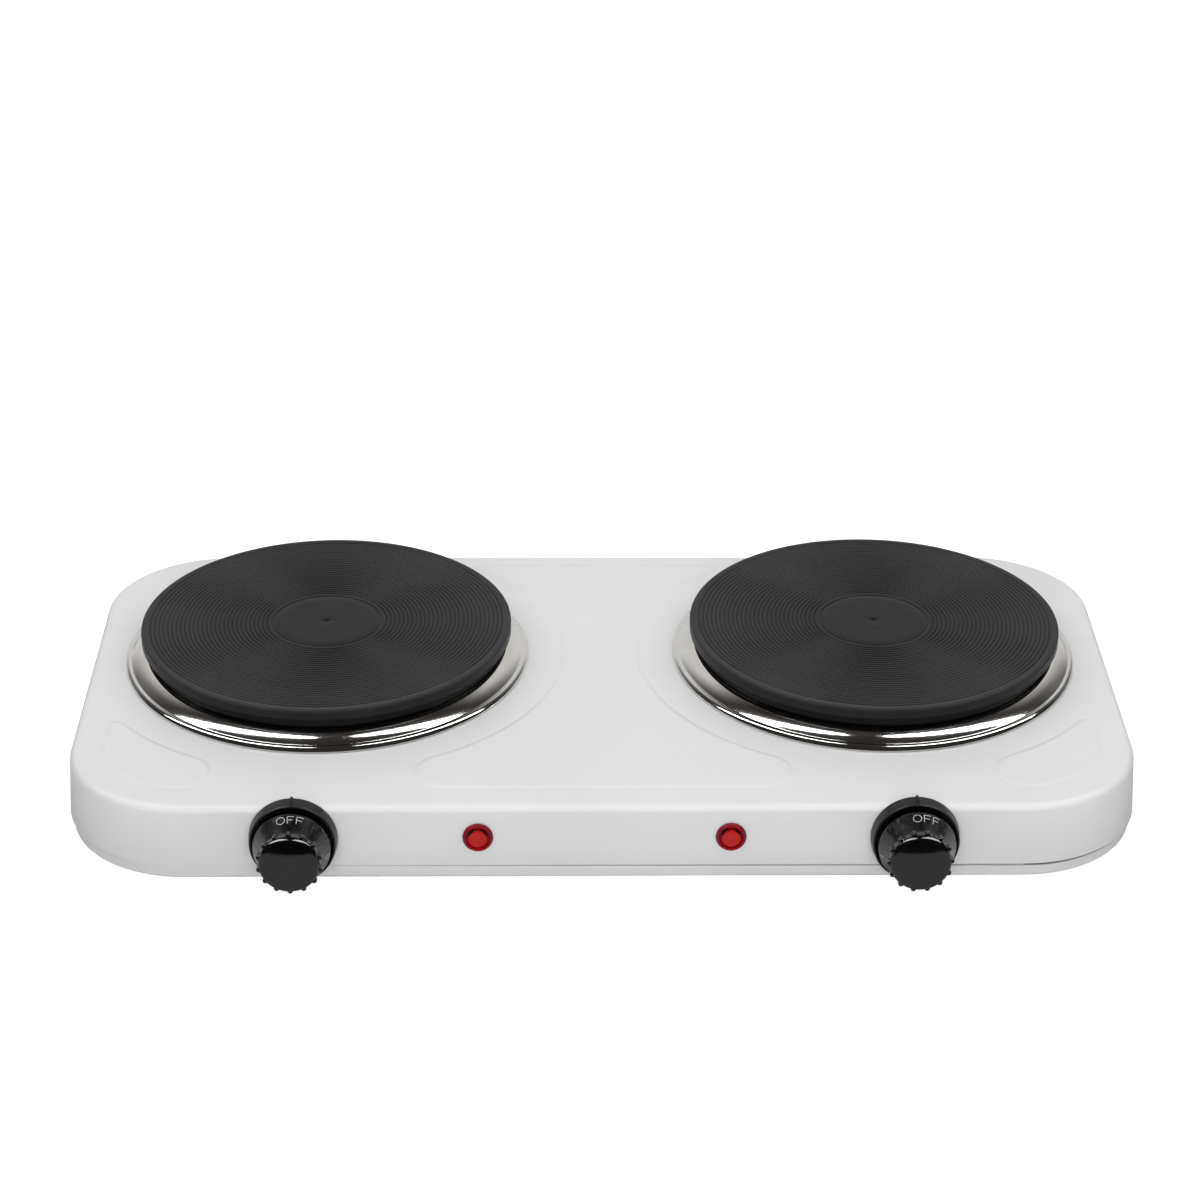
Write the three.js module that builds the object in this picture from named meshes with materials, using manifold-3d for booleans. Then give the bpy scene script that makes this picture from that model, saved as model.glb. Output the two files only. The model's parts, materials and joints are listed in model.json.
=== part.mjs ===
// Twin electric hot plate: a pressed steel housing that carries two sealed cast iron
// cooking plates, each with its own thermostat, control knob and pilot lamp.
// Units are millimetres, +Z up. +X is the right hand side seen from the controls, and
// the controls are on the -Y side.
import * as THREE from "three";
import { mergeVertices } from "three/addons/utils/BufferGeometryUtils.js";
import Module from "manifold-3d";

const wasm = await Module();
wasm.setup();

// ---- driving dimensions ------------------------------------------------------------
const HALF_W = 214.6; // housing half width at the seam
const Y_FRONT = -127.1; // front wall at the seam, measured from the line through the plate centres
const Y_BACK = 93.7; // rear wall at the seam
const CORNER_R = 50; // plan radius of the housing corners
const Z_TOP = 41.5; // top face of the housing
const Z_SEAM = 15.7; // lower edge of the top shell
const Z_BASE = 9.2; // underside of the base pan
const DRAFT = 1.5; // the walls lean in by this much between the seam and the top
const BEND_R = 3; // radius between the top face and the walls
const SHEET = 1.0; // sheet metal thickness
const GAP = 0.3; // clearance between pieces that touch

const PLATE_X = 115.15; // plate centres at +-PLATE_X
const PLATE_R = 77.5;
const Z_PLATE = 57; // cooking surface
const PLATE_BODY_R = 73.4; // lower body of the plate, inside the trim ring
const HOLE_R = 75; // opening in the top shell
const RING_R = 84.7;

const KNOB_X = 121;
const CTRL_Z = 28.4; // height of the knob and lamp axes
const BEZEL_R = 17.4;
const BEZEL_H = 6.4; // depth of the collar in front of the wall
const SKIRT_R = 15.1;
const GRIP_R = 12;
const KNOB_LENGTH = 24.5; // knob face in front of the wall
const RIBS = 14;
const RIGHT_KNOB_TURN = (11 * Math.PI) / 180; // the right knob stands a little past its off mark
const SHAFT_R = 3;
const LAMP_X = 49.3;
const LAMP_R = 6;

const PANEL_FRONT = -111; // borders of the embossed panels
const PANEL_BACK = 82;
const PANEL_SIDE = 200;
const PANEL_ARC_R = 99.5; // plain round field about each plate
const PANEL_TIP_R = 12.5; // rounded front tips of the panels
const PANEL_REAR_R = 2.5; // and rear tips
const EMBOSS = 0.7;

const FOOT_X = 180;
const FOOT_YF = -99;
const FOOT_YB = 66;
const GLAND_Z = 26.6;
const GLAND_OUT = 4; // gland flange behind the rear wall

// ---- solids ------------------------------------------------------------------------
function solid(geometry) {
  const source = geometry.index ? geometry.toNonIndexed() : geometry;
  const bare = new THREE.BufferGeometry();
  bare.setAttribute("position", source.getAttribute("position").clone());
  const merged = mergeVertices(bare, 1e-4);
  const index = merged.index.array;
  const kept = [];
  for (let i = 0; i < index.length; i += 3) {
    const [a, b, c] = [index[i], index[i + 1], index[i + 2]];
    if (a !== b && b !== c && a !== c) kept.push(a, b, c);
  }
  const build = (tris) =>
    new wasm.Manifold(
      new wasm.Mesh({
        numProp: 3,
        vertProperties: merged.attributes.position.array,
        triVerts: new Uint32Array(tris),
      }),
    );
  const made = build(kept);
  if (made.volume() >= 0) return made;
  for (let i = 0; i < kept.length; i += 3)
    [kept[i + 1], kept[i + 2]] = [kept[i + 2], kept[i + 1]];
  return build(kept);
}

function geometryOf(s) {
  const m = s.getMesh();
  const n = m.numProp;
  const points = new Float32Array(m.numVert * 3);
  for (let i = 0; i < m.numVert; i++)
    points.set(m.vertProperties.subarray(i * n, i * n + 3), i * 3);
  let g = new THREE.BufferGeometry();
  g.setAttribute("position", new THREE.BufferAttribute(points, 3));
  g.setIndex(new THREE.BufferAttribute(new Uint32Array(m.triVerts), 1));
  g = g.toNonIndexed();
  g.computeVertexNormals();
  return g;
}

// Cuboid from its lowest and highest corners.
function block(x0, x1, y0, y1, z0, z1) {
  const g = new THREE.BoxGeometry(x1 - x0, y1 - y0, z1 - z0);
  g.translate((x0 + x1) / 2, (y0 + y1) / 2, (z0 + z1) / 2);
  return solid(g);
}

// Upright cylinder.
function post(x, y, r, z0, z1, sides = 16) {
  const g = new THREE.CylinderGeometry(r, r, z1 - z0, sides);
  g.rotateX(Math.PI / 2);
  g.translate(x, y, (z0 + z1) / 2);
  return solid(g);
}

// Solid of revolution about +Z from [radius, height] pairs.
function turned(profile, sides = 28) {
  const g = new THREE.LatheGeometry(
    profile.map(([r, z]) => new THREE.Vector2(r, z)),
    sides,
  );
  g.rotateX(Math.PI / 2);
  return solid(g);
}

function closed(profile) {
  return [...profile, profile[0]];
}

// Upright prism of a plan outline.
function prism(points, z0, z1) {
  const shape = new THREE.Shape(points.map(([x, y]) => new THREE.Vector2(x, y)));
  const g = new THREE.ExtrudeGeometry(shape, {
    depth: z1 - z0,
    bevelEnabled: false,
    steps: 1,
  });
  g.translate(0, 0, z0);
  return solid(g);
}

// Skin over plan outlines with equal point counts, each at its own height.
function loft(levels) {
  const n = levels[0].points.length;
  const v = [];
  const tri = [];
  for (const { points, z } of levels) for (const [x, y] of points) v.push(x, y, z);
  for (let k = 0; k + 1 < levels.length; k++)
    for (let i = 0; i < n; i++) {
      const j = (i + 1) % n;
      const [a, b, c, d] = [k * n + i, k * n + j, (k + 1) * n + j, (k + 1) * n + i];
      tri.push(a, b, c, a, c, d);
    }
  const cap = (level, flip) => {
    const ring = levels[level].points.map(([x, y]) => new THREE.Vector2(x, y));
    for (const [a, b, c] of THREE.ShapeUtils.triangulateShape(ring, []))
      tri.push(level * n + a, level * n + (flip ? c : b), level * n + (flip ? b : c));
  };
  cap(0, true);
  cap(levels.length - 1, false);
  const g = new THREE.BufferGeometry();
  g.setAttribute("position", new THREE.Float32BufferAttribute(v, 3));
  g.setIndex(tri);
  return solid(g);
}

function arc(cx, cy, r, from, to, steps) {
  const out = [];
  for (let i = 0; i <= steps; i++) {
    const a = from + ((to - from) * i) / steps;
    out.push([cx + r * Math.cos(a), cy + r * Math.sin(a)]);
  }
  return out;
}

// The housing outline in plan, moved inwards by d.
function outline(d, steps = 6) {
  const r = CORNER_R - d;
  const x = HALF_W - CORNER_R;
  const yf = Y_FRONT + CORNER_R;
  const yb = Y_BACK - CORNER_R;
  const q = Math.PI / 2;
  return [
    ...arc(x, yf, r, -q, 0, steps),
    ...arc(x, yb, r, 0, q, steps),
    ...arc(-x, yb, r, q, 2 * q, steps),
    ...arc(-x, yf, r, 2 * q, 3 * q, steps),
  ];
}

// A plan outline moved outwards by d along its vertex normals.
function grown(points, d) {
  const n = points.length;
  return points.map(([x, y], i) => {
    const [px, py] = points[(i + n - 1) % n];
    const [qx, qy] = points[(i + 1) % n];
    const l1 = Math.hypot(x - px, y - py) || 1;
    const l2 = Math.hypot(qx - x, qy - y) || 1;
    const nx = (y - py) / l1 + (qy - y) / l2;
    const ny = -(x - px) / l1 - (qx - x) / l2;
    const l = Math.hypot(nx, ny) || 1;
    return [x + (nx / l) * d, y + (ny / l) * d];
  });
}

// ---- embossed panels ---------------------------------------------------------------
// Centre of the circle of radius r that touches the line y = line from inside and the
// round field of the plate at +PLATE_X from outside; side says which side it lies.
function tipCentre(line, r, side) {
  const cy = line > 0 ? line - r : line + r;
  return [PLATE_X + side * Math.sqrt((PANEL_ARC_R + r) ** 2 - cy ** 2), cy];
}
const angleTo = ([cx, cy], [x, y]) => Math.atan2(y - cy, x - cx);
const mirrored = (points) => points.map(([x, y]) => [-x, y]).reverse();
const PLATE = [PLATE_X, 0];

function centrePanel() {
  const f = tipCentre(PANEL_FRONT, PANEL_TIP_R, -1);
  const b = tipCentre(PANEL_BACK, PANEL_REAR_R, -1);
  const right = [
    ...arc(f[0], f[1], PANEL_TIP_R, -Math.PI / 2, angleTo(f, PLATE), 6),
    ...arc(PLATE_X, 0, PANEL_ARC_R, angleTo(PLATE, f) + 2 * Math.PI, angleTo(PLATE, b), 12).slice(1, -1),
    ...arc(b[0], b[1], PANEL_REAR_R, angleTo(b, PLATE), Math.PI / 2, 3),
  ];
  return [...right, ...mirrored(right)];
}

// Front right hand panel; the left one is its mirror image.
function cornerPanel() {
  const f = tipCentre(PANEL_FRONT, PANEL_TIP_R, 1);
  const r = CORNER_R - 14;
  const tip = 3;
  const tx = PANEL_SIDE - tip;
  const t = [tx, -Math.sqrt((PANEL_ARC_R + tip) ** 2 - (tx - PLATE_X) ** 2)];
  return [
    ...arc(f[0], f[1], PANEL_TIP_R, angleTo(f, PLATE), (3 * Math.PI) / 2, 6),
    ...arc(PANEL_SIDE - r, PANEL_FRONT + r, r, -Math.PI / 2 + 0.24, 0, 6),
    ...arc(t[0], t[1], tip, 0, angleTo(t, PLATE), 3).slice(1),
    ...arc(PLATE_X, 0, PANEL_ARC_R, angleTo(PLATE, t), angleTo(PLATE, f), 6).slice(1, -1),
  ];
}

// ---- placing -----------------------------------------------------------------------
const root = new THREE.Group();
const finishes = {
  white_enamel: [0xe2e2e2, 0.32, 0.0],
  cast_iron: [0x2f2e31, 0.62, 0.25],
  stainless: [0xc4c0ba, 0.16, 1.0],
  bakelite: [0x101114, 0.16, 0.0],
  red_lens: [0xb01016, 0.12, 0.0],
  zinc_steel: [0xa9adb2, 0.4, 0.9],
  ceramic: [0xe9e4d6, 0.55, 0.0],
  magnesia: [0xd8d2c4, 0.9, 0.0],
  rubber: [0x1a1a1b, 0.85, 0.0],
  brass: [0xb99a4c, 0.35, 0.9],
  bimetal: [0x8d7f6a, 0.4, 0.9],
  sleeve: [0xe6e1d2, 0.8, 0.0],
  earth_sleeve: [0x6f9a3a, 0.7, 0.0],
  nylon: [0xdedbd0, 0.5, 0.0],
};
const materials = Object.fromEntries(
  Object.entries(finishes).map(([name, [color, roughness, metalness]]) => [
    name,
    new THREE.MeshStandardMaterial({ name, color, roughness, metalness }),
  ]),
);
function add(name, s, finish, parent = root) {
  const mesh = new THREE.Mesh(geometryOf(s), materials[finish]);
  mesh.name = name;
  parent.add(mesh);
  return mesh;
}
// How far the leaning wall has moved in at height z.
const lean = (z) => (DRAFT * (z - Z_SEAM)) / (Z_TOP - Z_SEAM);
const DRAFT_ANGLE = Math.atan(DRAFT / (Z_TOP - Z_SEAM));
// A group whose local +Z points square out of the front wall, with local +Y up.
function frontGroup(x, z) {
  const g = new THREE.Group();
  g.position.set(x, Y_FRONT + lean(z), z);
  g.rotation.x = Math.PI / 2 - DRAFT_ANGLE;
  root.add(g);
  return g;
}
function across(x, z, r, y0, y1, sides = 16) {
  const g = new THREE.CylinderGeometry(r, r, y1 - y0, sides);
  g.translate(x, (y0 + y1) / 2, z);
  return solid(g);
}

// ---- housing -----------------------------------------------------------------------
function domed(d, zBottom, zTop, r) {
  const levels = [{ points: outline(d + lean(zBottom)), z: zBottom }];
  for (const a of [0, 45, 90]) {
    const t = (a * Math.PI) / 180;
    levels.push({
      points: outline(d + lean(zTop - r) + r * (1 - Math.cos(t))),
      z: zTop - r + r * Math.sin(t),
    });
  }
  return loft(levels);
}
const panels = [centrePanel(), cornerPanel(), mirrored(cornerPanel())];
let shell = domed(0, Z_SEAM, Z_TOP, BEND_R);
for (const p of panels)
  shell = shell.add(
    loft([
      { points: grown(p, 0.6), z: Z_TOP - 0.4 },
      { points: grown(p, 0.6), z: Z_TOP },
      { points: grown(p, -0.6), z: Z_TOP + EMBOSS },
    ]),
  );
let cavity = domed(SHEET, Z_SEAM - 5, Z_TOP - SHEET, BEND_R - SHEET);
for (const p of panels)
  cavity = cavity.add(
    loft([
      { points: grown(p, -0.4), z: Z_TOP - SHEET - 1 },
      { points: grown(p, -1.4), z: Z_TOP - SHEET + EMBOSS },
    ]),
  );
shell = shell.subtract(cavity);
for (const s of [-1, 1]) {
  shell = shell.subtract(post(s * PLATE_X, 0, HOLE_R, 30, 50, 48));
  shell = shell.subtract(across(s * KNOB_X, CTRL_Z, 5, Y_FRONT - 5, Y_FRONT + 5));
  shell = shell.subtract(across(s * LAMP_X, CTRL_Z, 5, Y_FRONT - 5, Y_FRONT + 5));
}
shell = shell.subtract(across(0, GLAND_Z, 6.8, Y_BACK - 5, Y_BACK + 5));
add("top_shell", shell, "white_enamel");

const PAN_IN = SHEET + GAP;
const PAN_TOP = 17.8;
let pan = loft([
  { points: outline(PAN_IN + 1.6), z: Z_BASE },
  { points: outline(PAN_IN + 0.5), z: Z_BASE + 0.5 },
  { points: outline(PAN_IN), z: Z_BASE + 1.6 },
  { points: outline(PAN_IN), z: PAN_TOP },
]).subtract(
  loft([
    { points: outline(PAN_IN + SHEET + 0.6), z: Z_BASE + SHEET },
    { points: outline(PAN_IN + SHEET), z: Z_BASE + SHEET + 0.8 },
    { points: outline(PAN_IN + SHEET), z: PAN_TOP + 2 },
  ]),
);
const feet = [
  ["front_left", -FOOT_X, FOOT_YF],
  ["front_right", FOOT_X, FOOT_YF],
  ["rear_left", -FOOT_X, FOOT_YB],
  ["rear_right", FOOT_X, FOOT_YB],
];
for (const [, x, y] of feet) pan = pan.subtract(post(x, y, 2.2, 5, 13, 10));
for (const s of [-1, 1])
  for (let i = -2; i <= 2; i++) {
    const x = s * PLATE_X + i * 14;
    const y = 17;
    pan = pan.subtract(
      prism(
        [
          ...arc(x, -y, 2, Math.PI, 2 * Math.PI, 3),
          ...arc(x, y, 2, 0, Math.PI, 3),
        ],
        5,
        13,
      ),
    );
  }
pan = pan.subtract(post(36, 66, 1.9, 5, 13, 10)).subtract(post(0, 62, 1.9, 5, 13, 10));
add("base_pan", pan, "white_enamel");

for (const [where, x, y] of feet) {
  const foot = turned(
    closed([
      [5.5, 0],
      [8.6, 0],
      [9.2, 0.6],
      [10.6, Z_BASE - GAP],
      [2.5, Z_BASE - GAP],
      [2.5, 4],
      [5.5, 4],
    ]),
    16,
  ).translate([x, y, 0]);
  add(`foot_${where}`, foot, "rubber");
  let screw = turned(
    [
      [0, 1.2],
      [2.8, 1.3],
      [4.2, 2.3],
      [4.2, 3.7],
      [1.7, 3.7],
      [1.7, 14.6],
      [0.9, 15.4],
      [0, 15.4],
    ],
    12,
  );
  screw = screw.subtract(block(-5, 5, -0.5, 0.5, 0, 2.4)).translate([x, y, 0]);
  add(`foot_screw_${where}`, screw, "zinc_steel");
  const s = Math.sign(x);
  const zu = Z_BASE + SHEET + GAP;
  const zo = Z_TOP - SHEET - GAP;
  const across0 = (a, b) => [Math.min(s * a, s * b), Math.max(s * a, s * b)];
  const [wa, wb] = across0(170, 171.2);
  const [fa, fb] = across0(170, 187);
  let bracket = block(wa, wb, y - 8, y + 8, zu, zo)
    .add(block(fa, fb, y - 8, y + 8, zu, zu + 1.2))
    .add(block(fa, fb, y - 8, y + 8, zo - 1.2, zo))
    .subtract(post(x, y, 2.05, 5, 14, 10));
  add(`corner_bracket_${where}`, bracket, "zinc_steel");
}

// ---- cooking plates ----------------------------------------------------------------
const Z_CAST = 38.5; // underside of the casting
for (const s of [-1, 1]) {
  const side = s < 0 ? "left" : "right";
  const g = new THREE.Group();
  g.position.set(s * PLATE_X, 0, 0);
  root.add(g);
  add(
    `${side}_hot_plate`,
    turned(
      [
        [0, Z_PLATE],
        [PLATE_R - 0.8, Z_PLATE],
        [PLATE_R, Z_PLATE - 0.8],
        [PLATE_R, Z_PLATE - 3.9],
        [PLATE_R - 0.5, Z_PLATE - 4.4],
        [74.8, Z_PLATE - 4.5],
        [74.8, 48.3],
        [PLATE_BODY_R, 48.3],
      [PLATE_BODY_R, Z_CAST],
        [68, Z_CAST],
        [67, 49],
        [14, 49],
        [12, Z_CAST],
        [3.4, Z_CAST],
        [3.4, 46],
        [0, 46],
      ],
      44,
    ),
    "cast_iron",
    g,
  );
  // Coil bedded in magnesia, in the space under the casting.
  const core = turned(
    closed([
      [15, 39.2],
      [66.4, 39.2],
      [66.2, 48.6],
      [15, 48.6],
    ]),
    32,
  );
  add(`${side}_heater_core`, core, "magnesia", g);
  let cover = turned(
    closed([
      [4.2, 36.6],
      [66, 36.6],
      [70, 37.4],
      [70, 38.2],
      [65.7, 37.4],
      [4.2, 37.4],
    ]),
    28,
  );
  add(`${side}_element_cover`, cover, "zinc_steel", g);
  add(
    `${side}_trim_ring`,
    turned(
      closed([
        [73.8, 41.2],
        [73.8, 47.5],
        [74.6, 48.0],
        [76.1, 47.9],
        [78.7, 46.6],
        [80.9, 45.1],
        [82.1, 44.1],
        [83.1, 43.9],
        [84.2, 43.0],
        [RING_R, 41.8],
        [83.9, 41.8],
        [83.2, 42.6],
        [82.3, 43.2],
        [80.6, 44.4],
        [78.4, 45.9],
        [75.9, 47.2],
        [74.7, 47.1],
        [74.7, 41.2],
      ]),
      36,
    ),
    "stainless",
    g,
  );
  add(
    `${side}_centre_stud`,
    turned(
      [
        [0, 45.6],
        [3.0, 45.6],
        [3.0, 16.8],
        [2.2, 16],
        [0, 16],
      ],
      12,
    ),
    "zinc_steel",
    g,
  );
  // Bridge that pulls the plate down onto the shell: it spans the opening underneath.
  const zb = 30;
  const zu = Z_TOP - SHEET - GAP;
  let bridge = block(-80, 80, -11, 11, zb - 1.5, zb)
    .add(block(-80, -78.5, -11, 11, zb - 1.5, zu))
    .add(block(78.5, 80, -11, 11, zb - 1.5, zu))
    .add(block(-89, -78.5, -11, 11, zu - 1.5, zu))
    .add(block(78.5, 89, -11, 11, zu - 1.5, zu))
    .subtract(post(0, 0, 3.5, 20, 40, 16));
  add(`${side}_clamp_bridge`, bridge, "zinc_steel", g);
  const nut = turned(
    closed([
      [3.7, 23.4],
      [6.2, 23.4],
      [6.6, 23.8],
      [6.6, 27.8],
      [6.2, 28.2],
      [3.7, 28.2],
    ]),
    6,
  );
  add(`${side}_stud_nut`, nut, "zinc_steel", g);
  const ceramic = block(-15, 15, -46, -31, 27.4, 36.3)
    .subtract(block(-11, -5, -47, -42, 29.8, 37))
    .subtract(block(5, 11, -47, -42, 29.8, 37))
    .subtract(block(-3, 3, -35, -30, 29.8, 37));
  add(`${side}_plate_terminal`, ceramic, "ceramic", g);
}

// ---- controls ----------------------------------------------------------------------
for (const s of [-1, 1]) {
  const side = s < 0 ? "left" : "right";
  const g = frontGroup(s * KNOB_X, CTRL_Z);
  const bezel = turned(
    closed([
      [6, 0.3],
      [BEZEL_R - 0.2, 0.3],
      [BEZEL_R, 0.7],
      [16.9, 5.6],
      [16.5, BEZEL_H],
      [16.1, BEZEL_H],
      [15.8, 5.9],
      [15.6, 1.5],
      [6, 1.5],
    ]),
    28,
  ).add(block(-0.6, 0.6, 15.75, BEZEL_R + 0.8, 0.6, BEZEL_H + 0.3));
  add(`${side}_knob_bezel`, bezel, "bakelite", g);

  let knob = turned(
    [
      [0, KNOB_LENGTH],
      [10.8, KNOB_LENGTH - 0.6],
      [GRIP_R, KNOB_LENGTH - 1.7],
      [GRIP_R + 0.1, 20.2],
      [SKIRT_R, 9.7],
      [SKIRT_R, 9.1],
      [14.0, 8.7],
      [13.8, 4],
      [12.8, 4],
      [10.3, 21.4],
      [5.4, 21.4],
      [5.4, 4.6],
      [SHAFT_R + 0.3, 4.6],
      [SHAFT_R + 0.3, 15.5],
      [0, 15.5],
    ],
    22,
  );
  for (let i = 0; i < RIBS; i++) {
    const a = Math.PI / 2 + (i * 2 * Math.PI) / RIBS;
    const rib = new THREE.CylinderGeometry(0.95, 0.95, 3.7, 6);
    rib.rotateX(Math.PI / 2);
    rib.rotateZ(a);
    rib.translate(11.95 * Math.cos(a), 11.95 * Math.sin(a), 21.2);
    knob = knob.add(solid(rib));
  }
  const turn = s > 0 ? -RIGHT_KNOB_TURN : 0;
  add(`${side}_knob`, knob, "bakelite", g).rotation.z = turn;

  const shaft = post(0, 0, SHAFT_R, -15.4, 15.2, 18).subtract(block(-4, 4, 1.9, 4, 5, 16));
  add(`${side}_shaft`, shaft, "zinc_steel", g).rotation.z = turn;

  const frame = block(-16, 16, -9.4, 10.3, -2.5, -1.3)
    .add(block(-9, 9, 9.1, 10.3, -17.2, -1.3))
    .add(block(-9, 9, -8.5, 10.3, -17.2, -16))
    .add(post(0, 0, 4.6, -2.5, 0, 16))
    .subtract(post(0, 0, SHAFT_R + 0.3, -12, 1, 16));
  add(`${side}_thermostat_frame`, frame, "zinc_steel", g);

  let stack = block(-7, 7, -8, 5.6, -31.5, -17.5);
  for (const z of [-20.6, -24.2, -27.8])
    stack = stack
      .subtract(block(-8, -6, -9, 7, z - 0.6, z + 0.6))
      .subtract(block(6, 8, -9, 7, z - 0.6, z + 0.6));
  add(`${side}_thermostat_stack`, stack, "ceramic", g);
  add(`${side}_bimetal_blade`, block(-4.5, 4.5, 5.9, 6.7, -62, -18), "bimetal", g);

  const l = frontGroup(s * LAMP_X, CTRL_Z);
  add(
    `${side}_lamp_lens`,
    turned(
      [
        [0, 2.3],
        [3.3, 2.2],
        [4.0, 1.7],
        [4.3, 1.3],
        [5.1, 1.7],
        [LAMP_R, 1.0],
        [LAMP_R, 0.3],
        [4.6, 0.3],
        [4.6, -8],
        [0, -8],
      ],
      20,
    ),
    "red_lens",
    l,
  );
  add(
    `${side}_lamp_clip`,
    turned(
      closed([
        [4.95, -1.3],
        [8, -1.3],
        [8, -2],
        [4.95, -2],
      ]),
      12,
    ),
    "zinc_steel",
    l,
  );
  add(
    `${side}_lamp_holder`,
    post(0, 0, 5.2, -20, -8.3, 16).add(post(-2, 0, 0.7, -24, -19, 8)).add(post(2, 0, 0.7, -24, -19, 8)),
    "nylon",
    l,
  );
}

// ---- supply ------------------------------------------------------------------------
const gland = turned(
  closed([
    [4.3, GLAND_OUT],
    [7.4, GLAND_OUT],
    [8.8, 2.8],
    [9.0, 0.3],
    [6.4, 0.3],
    [6.4, -1.3],
    [8.2, -1.3],
    [8.2, -3.5],
    [4.3, -3.5],
  ]),
  20,
);
const rear = new THREE.Group();
rear.position.set(0, Y_BACK - lean(GLAND_Z), GLAND_Z);
rear.rotation.x = -Math.PI / 2 + DRAFT_ANGLE;
root.add(rear);
add("cord_gland", gland, "rubber", rear);

let terminals = block(-21, 21, 52.3, 72, Z_BASE + SHEET + GAP, 25);
for (const x of [-13, 0, 13])
  terminals = terminals
    .subtract(block(x - 4, x + 4, 51, 55, 16, 26))
    .subtract(post(x, 62, x ? 2.6 : 2.1, x ? 19 : 5, 27, 10));
add("terminal_block", terminals, "nylon");
add(
  "terminal_block_screw",
  turned(
    [
      [0, Z_BASE - 1.4],
      [3.2, Z_BASE - 1.2],
      [3.4, Z_BASE - GAP],
      [1.55, Z_BASE - GAP],
      [1.55, 22],
      [0, 22],
    ],
    12,
  ).translate([0, 62, 0]),
  "zinc_steel",
);
add(
  "earth_screw",
  turned(
    [
      [0, Z_BASE - 1.4],
      [3.2, Z_BASE - 1.2],
      [3.4, Z_BASE - GAP],
      [1.55, Z_BASE - GAP],
      [1.55, 16],
      [0, 16],
    ],
    12,
  ).translate([36, 66, 0]),
  "brass",
);

// Sleeved lead of round section along a smooth curve through the given points.
function lead(name, points, finish = "sleeve", r = 1.5, steps = 14) {
  const curve = new THREE.CatmullRomCurve3(
    points.map((p) => new THREE.Vector3(...p)),
    false,
    "centripetal",
  );
  const section = new THREE.Shape(
    arc(0, 0, r, 0, 2 * Math.PI, 6)
      .slice(0, -1)
      .map(([x, y]) => new THREE.Vector2(x, y)),
  );
  const g = new THREE.ExtrudeGeometry(section, { steps, bevelEnabled: false, extrudePath: curve });
  add(name, solid(g), finish);
}
const stackBack = Y_FRONT + lean(CTRL_Z) + 32;
for (const s of [-1, 1]) {
  const side = s < 0 ? "left" : "right";
  lead(
    `${side}_heater_lead`,
    [
      [s * 121, stackBack, 24],
      [s * 120, -86, 21],
      [s * 114, -70, 20],
      [s * 108.5, -56, 26],
      [s * (PLATE_X - 8), -42.6, 33.4],
    ],
    "sleeve",
    1.4,
    10,
  );
  lead(
    `${side}_live_lead`,
    [
      [s * (KNOB_X - 7.6), -101, 24],
      [s * 100, -97, 19],
      [s * 72, -80, 15],
      [s * 30, -20, 14],
      [s * 15, 25, 14],
      [s * 13, 45, 16.5],
      [s * 13, 54.4, 20],
    ],
    "sleeve",
    1.4,
    12,
  );
  lead(
    `${side}_neutral_lead`,
    [
      [s * PLATE_X, -34.2, 33.2],
      [s * 114.5, -28.5, 32.6],
      [s * 108, -19, 24],
      [s * 97, -4, 17],
      [s * 70, 16, 15],
      [s * 34, 30, 20],
      [s * 9, 38, 23],
      [s * 2.2, 47, 21],
      [s * 2.2, 54.4, 20],
    ],
    "sleeve",
    1.4,
    16,
  );
}
lead(
  "earth_lead",
  [
    [21.4, 62, 18],
    [26, 62.5, 18.5],
    [31, 64.5, 17.5],
    [33.4, 66, 14],
  ],
  "earth_sleeve",
  1.2,
  6,
);

// Origin in the middle of the footprint.
root.updateMatrixWorld(true);
const bounds = new THREE.Box3().setFromObject(root);
root.position.y = -(bounds.min.y + bounds.max.y) / 2;

export default root;
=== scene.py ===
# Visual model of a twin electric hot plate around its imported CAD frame. Metres, +Z up.
import bpy
import bmesh
import json
import math
import random
from mathutils import Matrix, Vector, geometry


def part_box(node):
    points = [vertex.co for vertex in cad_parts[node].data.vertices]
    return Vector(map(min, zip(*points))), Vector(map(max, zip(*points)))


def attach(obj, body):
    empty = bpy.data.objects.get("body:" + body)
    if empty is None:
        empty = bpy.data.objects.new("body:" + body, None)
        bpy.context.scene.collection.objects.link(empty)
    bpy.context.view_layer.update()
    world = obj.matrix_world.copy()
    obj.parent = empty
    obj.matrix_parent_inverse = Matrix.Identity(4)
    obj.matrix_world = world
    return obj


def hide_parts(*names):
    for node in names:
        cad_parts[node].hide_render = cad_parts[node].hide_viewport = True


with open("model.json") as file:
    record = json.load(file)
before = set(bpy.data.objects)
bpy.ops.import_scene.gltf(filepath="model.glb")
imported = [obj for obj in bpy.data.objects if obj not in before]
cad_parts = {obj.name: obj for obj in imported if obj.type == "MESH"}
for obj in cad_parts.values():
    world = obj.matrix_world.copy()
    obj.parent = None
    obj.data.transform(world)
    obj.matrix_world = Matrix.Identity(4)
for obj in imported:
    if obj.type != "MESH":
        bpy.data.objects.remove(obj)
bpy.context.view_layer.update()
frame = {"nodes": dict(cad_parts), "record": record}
MM = 0.001

# ---- shared dimensions, in millimetres, in the plane through the plate centres ----------
plate_lo, plate_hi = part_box("right_hot_plate")
PLATE_X = (plate_lo.x + plate_hi.x) / 2 / MM
PLATE_Y = (plate_lo.y + plate_hi.y) / 2 / MM
Z_PLATE = plate_hi.z / MM
shell_lo, shell_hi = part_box("top_shell")
HALF_W = shell_hi.x / MM
Y_FRONT = shell_lo.y / MM
Y_BACK = shell_hi.y / MM
Z_SEAM = shell_lo.z / MM
EMBOSS = 0.5
Z_TOP = shell_hi.z / MM - 0.7
CORNER_R = 50.0
DRAFT = 1.5
BEND_R = 3.0
SHEET = 1.0
HOLE_R = 75.0
Z_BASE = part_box("base_pan")[0].z / MM
PAN_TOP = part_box("base_pan")[1].z / MM
PAN_IN = 1.3
FLANGE_IN = 2.4
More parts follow.
